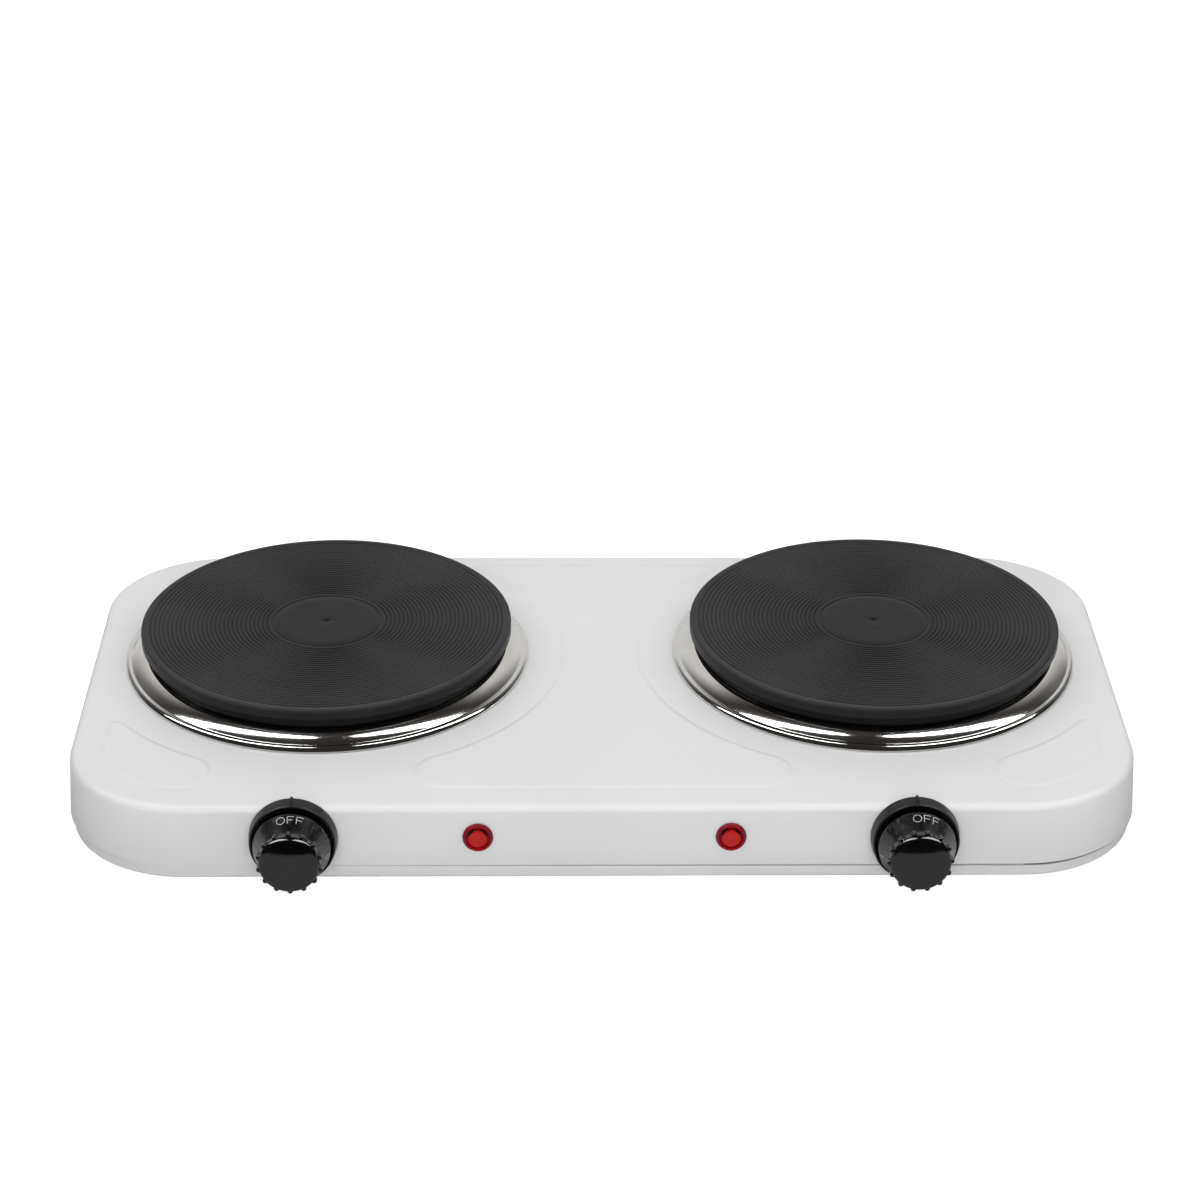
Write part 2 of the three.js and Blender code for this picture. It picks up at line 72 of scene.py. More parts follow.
PAN_EDGE = Z_SEAM - 0.6
KNOB_X = 121.0
LAMP_X = 49.3
CTRL_Z = 28.4
GLAND_Z = 26.6
DRAFT_ANGLE = math.atan(DRAFT / (Z_TOP - Z_SEAM))
PANEL_FRONT, PANEL_BACK, PANEL_SIDE = PLATE_Y - 111.0, PLATE_Y + 82.0, 200.0
PANEL_ARC_R, PANEL_TIP_R, PANEL_REAR_R = 99.5, 12.5, 2.5


def lean(z):
    return DRAFT * (z - Z_SEAM) / (Z_TOP - Z_SEAM)


# ---- mesh helpers ------------------------------------------------------------------
def make(name, verts, faces, matrix=None, smooth=30.0, merge=0.0):
    """A mesh object from millimetre vertices, normals outwards, sharp above the angle."""
    me = bpy.data.meshes.new(name)
    me.from_pydata([Vector(v) * MM for v in verts], [], faces)
    if matrix is not None:
        me.transform(matrix)
    bm = bmesh.new()
    bm.from_mesh(me)
    if merge:
        bmesh.ops.remove_doubles(bm, verts=bm.verts, dist=merge * MM)
    bmesh.ops.recalc_face_normals(bm, faces=bm.faces)
    bm.to_mesh(me)
    bm.free()
    ob = bpy.data.objects.new(name, me)
    bpy.context.scene.collection.objects.link(ob)
    shade(ob, smooth)
    return ob


def shade(ob, angle):
    for p in ob.data.polygons:
        p.use_smooth = True
    ob.data.set_sharp_from_angle(angle=math.radians(angle))


def applied(ob, smooth=30.0):
    """The object with its modifiers made part of its mesh."""
    dep = bpy.context.evaluated_depsgraph_get()
    me = bpy.data.meshes.new_from_object(ob.evaluated_get(dep))
    old = ob.data
    ob.modifiers.clear()
    ob.data = me
    me.name = ob.name
    bpy.data.meshes.remove(old)
    shade(ob, smooth)
    return ob


def thick(ob, t, smooth=30.0):
    m = ob.modifiers.new("sheet", "SOLIDIFY")
    m.thickness = t * MM
    m.offset = -1.0
    m.use_even_offset = True
    return applied(ob, smooth)


def cut(ob, other, op="DIFFERENCE", smooth=30.0):
    m = ob.modifiers.new("cut", "BOOLEAN")
    m.operation = op
    m.solver = "EXACT"
    m.object = other
    applied(ob, smooth)
    bpy.data.objects.remove(other)
    return ob


def fillet(points, closed=False, steps=5):
    """Rounds the corners of a polyline whose points are (x, y) or (x, y, radius)."""
    n = len(points)
    out = []
    for i, p in enumerate(points):
        r = p[2] if len(p) > 2 else 0.0
        if not r or (not closed and i in (0, n - 1)):
            out.append((p[0], p[1]))
            continue
        o = Vector(p[:2])
        a = Vector(points[i - 1][:2]) - o
        b = Vector(points[(i + 1) % n][:2]) - o
        la, lb = a.length, b.length
        a.normalize()
        b.normalize()
        half = max(a.angle(b), 1e-4) / 2
        t = min(r / math.tan(half), la * 0.49, lb * 0.49)
        rr = t * math.tan(half)
        c = o + (a + b).normalized() * (rr / math.sin(half))
        s, e = o + a * t - c, o + b * t - c
        turn = s.angle_signed(e)
        for k in range(steps + 1):
            w = turn * k / steps
            out.append((c.x + s.x * math.cos(w) + s.y * math.sin(w), c.y - s.x * math.sin(w) + s.y * math.cos(w)))
    return out


def spline(points, per=6):
    """Catmull-Rom through points."""
    pts = [Vector(p) for p in points]
    pts = [2 * pts[0] - pts[1]] + pts + [2 * pts[-1] - pts[-2]]
    out = []
    for i in range(1, len(pts) - 2):
        a, b, c, d = pts[i - 1 : i + 3]
        for k in range(per):
            t = k / per
            out.append(tuple(0.5 * ((2 * b) + (c - a) * t + (2 * a - 5 * b + 4 * c - d) * t * t + (3 * b - a - 3 * c + d) * t**3)))
    out.append(tuple(pts[-2]))
    return out


def lathe(name, profile, sides, matrix=None, closed=False, smooth=30.0, radius=None):
    """Turns (radius, height) points about +Z. radius(r, z, angle) may change the form."""
    verts, faces, rows = [], [], []
    for r, z in profile:
        if r < 1e-6:
            rows.append([len(verts)])
            verts.append((0, 0, z))
            continue
        row = []
        for i in range(sides):
            a = 2 * math.pi * i / sides
            q = radius(r, z, a) if radius else r
            row.append(len(verts))
            verts.append((q * math.cos(a), q * math.sin(a), z))
        rows.append(row)
    pairs = list(zip(rows, rows[1:]))
    if closed:
        pairs.append((rows[-1], rows[0]))
    for lo, hi in pairs:
        for i in range(sides):
            j = (i + 1) % sides
            if len(lo) == 1 and len(hi) == 1:
                continue
            if len(lo) == 1:
                faces.append((lo[0], hi[j], hi[i]))
            elif len(hi) == 1:
                faces.append((lo[i], lo[j], hi[0]))
            else:
                faces.append((lo[i], lo[j], hi[j], hi[i]))
    return make(name, verts, faces, matrix, smooth)


def skin_profile(points, t):
    """Closes an open profile into a sheet of thickness t on its left hand side."""
    back = []
    for i, p in enumerate(points):
        a = Vector(points[max(i - 1, 0)])
        b = Vector(points[min(i + 1, len(points) - 1)])
        d = (b - a).normalized()
        back.append((p[0] + d.y * t, p[1] - d.x * t))
    return list(points) + back[::-1]


def arc(cx, cy, r, a, b, steps):
    return [(cx + r * math.cos(a + (b - a) * i / steps), cy + r * math.sin(a + (b - a) * i / steps)) for i in range(steps + 1)]


def outline(d, steps=22):
    r, x = CORNER_R - d, HALF_W - CORNER_R
    yf, yb, q = Y_FRONT + CORNER_R, Y_BACK - CORNER_R, math.pi / 2
    return arc(x, yf, r, -q, 0, steps) + arc(x, yb, r, 0, q, steps) + arc(-x, yb, r, q, 2 * q, steps) + arc(-x, yf, r, 2 * q, 3 * q, steps)


def grown(points, d):
    n, out = len(points), []
    for i, p in enumerate(points):
        a, b = Vector(points[i - 1]), Vector(points[(i + 1) % n])
        o = Vector(p)
        u, v = (o - a).normalized(), (b - o).normalized()
        m = (Vector((u.y, -u.x)) + Vector((v.y, -v.x))).normalized()
        out.append((p[0] + m.x * d, p[1] + m.y * d))
    return out


def inside(p, poly):
    x, y = p
    c = False
    for i in range(len(poly)):
        (x1, y1), (x2, y2) = poly[i - 1], poly[i]
        if (y1 > y) != (y2 > y) and x < (x2 - x1) * (y - y1) / (y2 - y1) + x1:
            c = not c
    return c


def flat_mesh(loops, heights, outer, holes):
    """Triangulates nested plan loops, each at its own height, inside outer and outside holes."""
    pts, edges, zs = [], [], []
    for loop, z in zip(loops, heights):
        s = len(pts)
        pts += [Vector(p) for p in loop]
        zs += [z] * len(loop)
        edges += [(s + i, s + (i + 1) % len(loop)) for i in range(len(loop))]
    vs, _, fs, ov, _, _ = geometry.delaunay_2d_cdt(pts, edges, [], 0, 1e-5)
    verts = [(v.x, v.y, zs[ids[0]] if ids else heights[0]) for v, ids in zip(vs, ov)]
    keep = []
    for f in fs:
        c = sum((vs[i] for i in f), Vector((0, 0))) / len(f)
        if inside(c, outer) and not any(inside(c, h) for h in holes):
            keep.append(tuple(f))
    return verts, keep


# ---- top shell ---------------------------------------------------------------------
def tip_centre(line, r, side):
    cy = line - r if line > PLATE_Y else line + r
    return (PLATE_X + side * math.sqrt((PANEL_ARC_R + r) ** 2 - (cy - PLATE_Y) ** 2), cy)


def angle_to(c, p):
    return math.atan2(p[1] - c[1], p[0] - c[0])


def centre_panel():
    plate = (PLATE_X, PLATE_Y)
    f, b = tip_centre(PANEL_FRONT, PANEL_TIP_R, -1), tip_centre(PANEL_BACK, PANEL_REAR_R, -1)
    right = arc(*f, PANEL_TIP_R, -math.pi / 2, angle_to(f, plate), 20)
    right += arc(*plate, PANEL_ARC_R, angle_to(plate, f) + 2 * math.pi, angle_to(plate, b), 60)[1:-1]
    right += arc(*b, PANEL_REAR_R, angle_to(b, plate), math.pi / 2, 10)
    return right + [(-x, y) for x, y in reversed(right)]


def corner_panel():
    plate = (PLATE_X, PLATE_Y)
    f = tip_centre(PANEL_FRONT, PANEL_TIP_R, 1)
    r, tip = CORNER_R - 14, 3.0
    tx = PANEL_SIDE - tip
    t = (tx, PLATE_Y - math.sqrt((PANEL_ARC_R + tip) ** 2 - (tx - PLATE_X) ** 2))
    out = arc(*f, PANEL_TIP_R, angle_to(f, plate), 1.5 * math.pi - 0.105, 20)
    out += arc(PANEL_SIDE - r, PANEL_FRONT + r, r, -math.pi / 2 + 0.105, 0, 24)
    out += arc(*t, tip, 0, angle_to(t, plate), 10)[1:]
    out += arc(*plate, PANEL_ARC_R, angle_to(plate, t), angle_to(plate, f), 30)[1:-1]
    return out


def circle(cx, cy, r, n=96):
    return arc(cx, cy, r, 0, 2 * math.pi, n)[:-1]


def wall_with_holes(ya, z0, z1, d, holes, verts, faces, sign):
    """The straight stretch of the front (sign -1) or rear (sign 1) wall, with round holes."""
    x = HALF_W - CORNER_R
    rect = [(-x, z0), (x, z0), (x, z1), (-x, z1)]
    rings = [circle(cx, cz, r, 40) for cx, cz, r in holes]
    guards = [circle(cx, cz, r + 1.0, 40) for cx, cz, r in holes]
    vs, fs = flat_mesh([rect] + rings + guards, [0.0] * (1 + 2 * len(rings)), rect, rings)
    base = len(verts)
    for a, b, _ in vs:
        verts.append((a, ya - sign * (lean(b) + d), b))
    faces += [tuple(base + i for i in f) for f in fs]


def top_shell():
    verts, faces = [], []
    levels = [(0.22, Z_SEAM), (0.06, Z_SEAM + 0.1), (lean(Z_SEAM + 0.3), Z_SEAM + 0.3)]
    zb = Z_TOP - BEND_R
    for k in range(13):
        t = math.pi / 2 * k / 12
        levels.append((lean(zb) + BEND_R * (1 - math.cos(t)), zb + BEND_R * math.sin(t)))
    n = len(outline(0))
    q = n // 4
    for d, z in levels:
        verts += [(x, y, z) for x, y in outline(d)]
    for k in range(len(levels) - 1):
        for i in range(n):
            j = (i + 1) % n
            if k == 2 and i in (n - 1, 2 * q - 1):
                continue
            faces.append((k * n + i, k * n + j, (k + 1) * n + j, (k + 1) * n + i))
    ctrl = [(s * KNOB_X, CTRL_Z, 5.0) for s in (-1, 1)] + [(s * LAMP_X, CTRL_Z, 5.0) for s in (-1, 1)]
    wall_with_holes(Y_FRONT, levels[2][1], levels[3][1], 0.0, ctrl, verts, faces, -1)
    wall_with_holes(Y_BACK, levels[2][1], levels[3][1], 0.0, [(0, GLAND_Z, 6.8)], verts, faces, 1)
    outer = outline(levels[-1][0])
    guard = outline(levels[-1][0] + 0.8)
    loops, heights = [outer, guard], [Z_TOP, Z_TOP]
    cp = corner_panel()
    for panel in (centre_panel(), cp, [(-x, y) for x, y in reversed(cp)]):
        steps = 10
        for k in range(steps + 1):
            w = k / steps
            loops.append(grown(panel, 1.3 - 2.6 * w))
            heights.append(Z_TOP + EMBOSS * (0.5 - 0.5 * math.cos(math.pi * w)))
        loops += [grown(panel, 1.8), grown(panel, -1.7)]
        heights += [Z_TOP, Z_TOP + EMBOSS]
    holes = [circle(s * PLATE_X, PLATE_Y, HOLE_R) for s in (-1, 1)]
    loops += holes
    heights += [Z_TOP] * 2
    vs, fs = flat_mesh(loops, heights, outer, holes)
    base = len(verts)
    verts += vs
    faces += [tuple(base + i for i in f) for f in fs]
    ob = make("top_shell_pressing", verts, faces, merge=0.002)
    return thick(ob, SHEET * 0.95, 40)


# ---- base pan ----------------------------------------------------------------------
FEET = {}
for where in ("front_left", "front_right", "rear_left", "rear_right"):
    lo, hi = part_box("foot_" + where)
    FEET[where] = ((lo.x + hi.x) / 2 / MM, (lo.y + hi.y) / 2 / MM, hi.z / MM)


def sag(x, y):
    """The joint under the shell opens a little at the front right corner."""
    return 1.0 * math.exp(-(((x - 178) / 42) ** 2)) if y < PLATE_Y - 60 else 0.0


def base_pan():
    verts, faces = [], []
    top = PAN_EDGE
    levels = [(FLANGE_IN, PAN_TOP), (FLANGE_IN, top + 0.35), (FLANGE_IN - 0.1, top + 0.12), (FLANGE_IN - 0.35, top), (PAN_IN + 0.35, top - 0.02), (PAN_IN + 0.1, top - 0.12), (PAN_IN, top - 0.4), (PAN_IN, Z_BASE + 2.6)]
    r = 1.7
    for k in range(1, 9):
        t = math.pi / 2 * k / 8
        levels.append((PAN_IN + r * (1 - math.cos(t)), Z_BASE + r - r * math.sin(t)))
    n = len(outline(0))
    for d, z in levels:
        verts += [(x, y, z - (sag(x, y) if abs(z - top) < 0.8 else 0.0)) for x, y in outline(d)]
    for k in range(len(levels) - 1):
        for i in range(n):
            j = (i + 1) % n
            faces.append((k * n + i, k * n + j, (k + 1) * n + j, (k + 1) * n + i))
    outer = outline(levels[-1][0])
    loops, heights = [outer, outline(levels[-1][0] + 0.8)], [Z_BASE, Z_BASE]
    holes = [circle(x, y, 2.2, 24) for x, y, _ in FEET.values()]
    holes += [circle(36, PLATE_Y + 66, 1.9, 24), circle(0, PLATE_Y + 62, 1.9, 24)]
    for s in (-1, 1):
        for i in range(-2, 3):
            x = s * PLATE_X + i * 14
            holes.append(arc(x, PLATE_Y - 17, 2, math.pi, 2 * math.pi, 12) + arc(x, PLATE_Y + 17, 2, 0, math.pi, 12))
    # A shallow stiffening bead round the floor, pressed inwards.
    for d, z in ((26.0, 0.0), (27.0, 0.15), (28.0, 0.6), (29.0, 0.85), (30.5, 0.85), (31.5, 0.6), (32.5, 0.15), (33.5, 0.0)):
        loops.append(outline(levels[-1][0] + d * 1.0))
        heights.append(Z_BASE + z)
    loops += holes
    heights += [Z_BASE] * len(holes)
    vs, fs = flat_mesh(loops, heights, outer, holes)
    base = len(verts)
    verts += vs
    faces += [tuple(base + i for i in f) for f in fs]
    ob = make("base_pan_pressing", verts, faces, merge=0.002)
    return thick(ob, 0.7, 40)


# ---- cooking plate and trim ring ---------------------------------------------------
def at(x, y):
    return Matrix.Translation((x * MM, y * MM, 0))


def hot_plate(side, sx):
    z = Z_PLATE
    top = [(0, z - 0.45), (0.5, z - 0.44), (1.1, z - 0.3), (1.7, z - 0.06), (2.3, z)]
    top += [(6, z), (12, z), (18, z), (22.0, z)]
    top += [(22.25, z - 0.05), (22.45, z - 0.26), (22.65, z - 0.32), (22.85, z - 0.26), (23.05, z - 0.05), (23.3, z)]
    # Turned grooves: flat lands with a rounded groove between each pair.
    pitch, start, count = 1.8, 23.9, 28
    for i in range(count):
        for w, d in ((0.0, 0.0), (0.38, 0.0), (0.45, 0.06), (0.54, 0.32), (0.64, 0.48), (0.74, 0.48), (0.84, 0.32), (0.93, 0.06)):
            top.append((start + pitch * (i + w), z - d))
    end = start + pitch * count
    edge = fillet([(end, z), (77.5, z, 0.6), (77.5, z - 4.4, 0.45), (74.8, z - 4.6, 0.3), (74.8, 48.3), (73.4, 48.3), (73.4, 38.5), (68, 38.5), (67, 49, 1.0), (14, 49, 1.0), (12, 38.5), (3.4, 38.5), (3.4, 46), (0, 46)], steps=6)
    return lathe(f"{side}_grooved_plate", top + edge, 288, at(sx * PLATE_X, PLATE_Y), smooth=42)


def trim_ring(side, sx):
    line = spline([(74.4, 41.3), (74.4, 46.6), (74.6, 47.5), (75.1, 47.9), (75.75, 47.95), (76.5, 47.7), (77.6, 47.17), (78.7, 46.57), (79.8, 45.88), (80.9, 45.1), (81.8, 44.38), (82.15, 44.1), (82.45, 44.0), (82.95, 43.95), (83.6, 43.6), (84.2, 43.0), (84.55, 42.35), (84.66, 41.85)], 5)
    return lathe(f"{side}_polished_ring", skin_profile(line, 0.4), 288, at(sx * PLATE_X, PLATE_Y), closed=True, smooth=50)


# ---- controls ----------------------------------------------------------------------
def wall_frame(x, z, turn=0.0):
    """Local +Z square out of the front wall, +Y up, turned clockwise seen from the front."""
    m = Matrix.Translation((x * MM, (Y_FRONT + lean(z)) * MM, z * MM))
    return m @ Matrix.Rotation(math.pi / 2 - DRAFT_ANGLE, 4, "X") @ Matrix.Rotation(-turn, 4, "Z")


def skirt_r(z):
    """Outer radius of the knob skirt between its rim and the grip."""
    t = min(max((z - 9.7) / (19.0 - 9.7), 0.0), 1.0)
    return 15.05 - 3.3 * t - 0.18 * math.sin(math.pi * t)


RIBS, RIB_R, RIB_AXIS = 14, 1.08, 11.96
RIB_LOW, RIB_HIGH = 18.3, 22.2


def knob_radius(r, z, a):
    if not RIB_LOW < z < RIB_HIGH or r < 11.4:
        return r
    step = 2 * math.pi / RIBS
    off = (a - math.pi / 2 + step / 2) % step - step / 2
    s = off * RIB_AXIS
    if abs(s) >= RIB_R:
        return r
    # Each rib is a short half round pin with ball shaped ends.
    low, high = RIB_LOW + RIB_R * 1.1, RIB_HIGH - 1.0
    e = (low - z) / (RIB_R * 1.1) if z < low else ((z - high) / 1.0 if z > high else 0.0)
    h = RIB_R**2 * (1 - e * e) - s * s
    return max(r, RIB_AXIS + math.sqrt(h)) if h > 0 else r


def knob(side, sx, turn):
    out = [(13.4, 4.4), (13.6, 4.1), (13.75, 4.3), (13.95, 8.3), (14.25, 8.65), (14.7, 8.8), (14.95, 9.05), (15.05, 9.35), (15.05, 9.7)]
    z = 10.3
    while z < 18.7:
        out.append((skirt_r(z), z))
        z += 0.7
    while z < 22.6:
        out.append((skirt_r(z) + 0.03 * max(z - 19.0, 0), z))
        z += 0.16
    # Rounded shoulder and gently domed face.
    # The face meets the side through a narrow, slightly crowned bevel.
    tilts = [(88, 0.14), (82, 0.16), (76, 0.18), (70, 0.16), (65, 0.12), (61.5, 0.16), (59.5, 0.26), (58, 0.30), (56.5, 0.26), (54, 0.14), (48, 0.08), (38, 0.08), (28, 0.08), (20, 0.08)]
    r, z = FACE_R, FACE_Z - DOME
    band = [(r, z)]
    for tilt, length in reversed(tilts):
        r += length * math.cos(math.radians(tilt))
        z -= length * math.sin(math.radians(tilt))
        band.append((r, z))
    out = [q for q in out if q[1] < z - 0.05] + band[::-1]
    for k in range(1, 17):
        r = FACE_R * (1 - k / 16)
        out.append((r, FACE_Z - DOME * (r / FACE_R) ** 2))
    inner = [(0, 15.5), (3.3, 15.5), (3.3, 4.6), (5.4, 4.6), (5.4, 21.4), (10.3, 21.4), (12.8, 4.6)]
    return lathe(f"{side}_dial_knob", inner + out, 28 * RIBS, wall_frame(sx * KNOB_X, CTRL_Z, turn), smooth=38, radius=knob_radius)


DOME, FACE_R, FACE_Z = 1.2, 10.85, 24.43


def strokes(paths, width, place, lift):
    """Flat printed strokes: each path is a list of (u, v) points, laid on a surface by place."""
    verts, faces = [], []
    for path in paths:
        fine = []
        for a, b in zip(path, path[1:]):
            n = max(1, int(math.dist(a, b) / 0.35))
            fine += [(a[0] + (b[0] - a[0]) * k / n, a[1] + (b[1] - a[1]) * k / n) for k in range(n)]
        fine.append(path[-1])
        shut = math.dist(path[0], path[-1]) < 1e-6
        if shut:
            fine = fine[:-1]
        n, base = len(fine), len(verts)
        for i, p in enumerate(fine):
            a = fine[i - 1] if (i or shut) else p
            b = fine[(i + 1) % n] if (i < n - 1 or shut) else p
            d = (Vector(b) - Vector(a)).normalized()
            m = Vector((-d.y, d.x)) * width / 2
            q = Vector(p)
            for e, h in ((m, lift), (-m, lift), (-m, -0.05), (m, -0.05)):
                verts.append(place(q.x + e.x, q.y + e.y, h))
        for i in range(n if shut else n - 1):
            j = (i + 1) % n
            for k in range(4):
                l = (k + 1) % 4
                faces.append((base + 4 * i + k, base + 4 * j + k, base + 4 * j + l, base + 4 * i + l))
        if not shut:
            faces.append((base, base + 1, base + 2, base + 3))
            faces.append(tuple(base + 4 * (n - 1) + k for k in (3, 2, 1, 0)))
    return verts, faces


def oval(cx, rx, ry, n=30):
    return [(cx + rx * math.cos(2 * math.pi * k / n), ry * math.sin(2 * math.pi * k / n)) for k in range(n)] + [(cx + rx, 0.0)]


H = 1.7  # half the height of a letter
LETTER_F = [[(-1.2, -H), (-1.2, H)], [(-1.2, H), (1.25, H)], [(-1.2, 0.1), (0.9, 0.1)]]
DIGITS = {
    1: [[(-0.6, 0.9), (0.15, H), (0.15, -H)]],
    2: [[(-0.8, 0.7), (-0.5, 1.2), (0.1, H), (0.7, 1.05), (0.8, 0.5), (0.4, -0.1), (-0.8, -H), (0.95, -H)]],
    3: [[(-0.75, 1.0), (-0.1, H), (0.6, 1.05), (0.7, 0.5), (0.2, 0.12), (-0.1, 0.1)], [(-0.1, 0.1), (0.6, -0.1), (0.8, -0.65), (0.4, -1.2), (-0.2, -H), (-0.8, -0.95)]],
    4: [[(0.5, -H), (0.5, H), (-0.85, -0.45), (1.0, -0.45)]],
    5: [[(0.75, H), (-0.6, H), (-0.75, 0.15), (0.1, 0.35), (0.75, 0.0), (0.8, -0.6), (0.35, -1.2), (-0.3, -H), (-0.85, -1.0)]],
}


def moved(paths, dx):
    return [[(x + dx, y) for x, y in p] for p in paths]


def dial_marks(side, sx, turn):
    verts, faces = [], []
    marks = [(0.0, [oval(-3.6, 1.6, H)] + moved(LETTER_F, 0.3) + moved(LETTER_F, 3.85))]
    for i, a in enumerate((112, 150, 188, 226, 262)):
        marks.append((math.radians(a), DIGITS[i + 1]))
    for angle, paths in marks:
        def place(u, v, h):
            z = 12.2 - v * 0.96
            r = skirt_r(z) + h
            a = math.pi / 2 + angle - u / skirt_r(12.2)
            return (r * math.cos(a), r * math.sin(a), z)
        vs, fs = strokes(paths, 0.31, place, 0.05)
        base = len(verts)
        verts += vs
        faces += [tuple(base + i for i in f) for f in fs]
    return make(f"{side}_dial_print", verts, faces, wall_frame(sx * KNOB_X, CTRL_Z, turn), smooth=30)


def bezel(side, sx):
    prof = fillet([(6, 0.3), (17.3, 0.3, 0.2), (17.35, 0.9, 0.3), (16.85, 5.8, 0.5), (16.45, 6.4, 0.2), (16.1, 6.4, 0.2), (15.75, 5.7, 0.5), (15.5, 1.4, 0.5), (6, 1.3)], closed=True, steps=5)
    m = wall_frame(sx * KNOB_X, CTRL_Z)
    ob = lathe(f"{side}_knob_collar", prof, 224, m, closed=True, smooth=40)
    # Pointer fin at twelve o'clock, along the sloping face of the collar.
    verts = []
    rows = ((0.5, 16.6, 18.05), (1.2, 16.6, 18.15), (3.5, 16.4, 17.75), (5.6, 16.2, 17.2), (6.55, 16.2, 16.65))
    for z, y0, y1 in rows:
        for x, y in ((-0.62, y0), (-0.6, y1 - 0.35), (-0.35, y1 - 0.06), (0, y1), (0.35, y1 - 0.06), (0.6, y1 - 0.35), (0.62, y0)):
            verts.append((x, y, z))
    n = 7
    last = (len(rows) - 1) * n
    faces = [tuple(range(n)), tuple(range(last, last + n))[::-1]]
    for k in range(len(rows) - 1):
        for i in range(n):
            j = (i + 1) % n
            faces.append((k * n + i, k * n + j, (k + 1) * n + j, (k + 1) * n + i))
    fin = make("fin_tool", verts, faces, m)
    return cut(ob, fin, "UNION", 40)


def lens(side, sx):
    prof = [(0, 2.3), (1.2, 2.28), (2.4, 2.2), (3.1, 2.08)] + [(3.35 + 0.3 * math.sin(t), 1.75 + 0.3 * math.cos(t)) for t in (0.2, 0.6, 1.0, 1.4)]
    prof += [(3.72, 0.75), (3.85, 0.55), (4.1, 0.5), (4.3, 0.6), (4.5, 1.05), (4.75, 1.5), (5.05, 1.66), (5.4, 1.62), (5.7, 1.42), (5.9, 1.1), (6.0, 0.7), (5.98, 0.4), (5.85, 0.3), (4.6, 0.3), (4.6, -8), (0, -8)]
    return lathe(f"{side}_pilot_lens", prof, 96, wall_frame(sx * LAMP_X, CTRL_Z), smooth=42)


def foot(where):
    x, y, top = FEET[where]
    prof = fillet([(5.5, 0), (8.5, 0, 0.5), (9.3, 2.2, 0.3), (9.0, 2.7, 0.25), (9.5, 3.2, 0.3), (10.5, top, 0.5), (2.5, top), (2.5, 4), (5.5, 4)], closed=True, steps=4)
    return lathe(f"rubber_foot_{where}", prof, 96, at(x, y), closed=True, smooth=40)


def foot_screw(where):
    x, y, _ = FEET[where]
    prof = [(0, 1.22), (1.4, 1.25), (2.6, 1.4), (3.5, 1.75), (4.05, 2.3), (4.2, 2.9), (4.15, 3.6), (4.0, 3.7), (1.7, 3.7)]
    z, i = 4.2, 0
    while z < 14.4:
        prof.append((1.72 if i % 2 else 1.42, z))
        z += 0.35
        i += 1
    prof += [(1.3, 14.6), (0.6, 15.4), (0, 15.4)]
    ob = lathe(f"fixing_screw_{where}", prof, 48, at(x, y), smooth=40)
    verts, faces = [], []
    for w, l in ((0.45, 2.3), (2.3, 0.45)):
        b = len(verts)
        verts += [(sx * w * k, sy * l * k, z) for z, k in ((0.5, 1.0), (2.7, 0.72)) for sx, sy in ((-1, -1), (1, -1), (1, 1), (-1, 1))]
        faces += [(b, b + 3, b + 2, b + 1), (b + 4, b + 5, b + 6, b + 7)] + [(b + i, b + (i + 1) % 4, b + 4 + (i + 1) % 4, b + 4 + i) for i in range(4)]
    for k in range(2):
        tool = make("recess_tool", verts[8 * k : 8 * k + 8], [tuple(i - 8 * k for i in f) for f in faces[6 * k : 6 * k + 6]], at(x, y))
        cut(ob, tool, "DIFFERENCE", 40)
    return ob


def gland():
    prof = fillet([(4.3, 4.0, 0.4), (7.3, 4.0, 0.7), (8.8, 2.6, 0.5), (9.0, 0.3, 0.2), (6.4, 0.3), (6.4, -1.3), (8.2, -1.3, 0.3), (8.2, -3.5, 0.3), (4.3, -3.5, 0.3)], closed=True, steps=5)
    m = Matrix.Translation((0, (Y_BACK - lean(GLAND_Z)) * MM, GLAND_Z * MM)) @ Matrix.Rotation(-math.pi / 2 + DRAFT_ANGLE, 4, "X")
    return lathe("rear_cord_gland", prof, 96, m, closed=True, smooth=40)


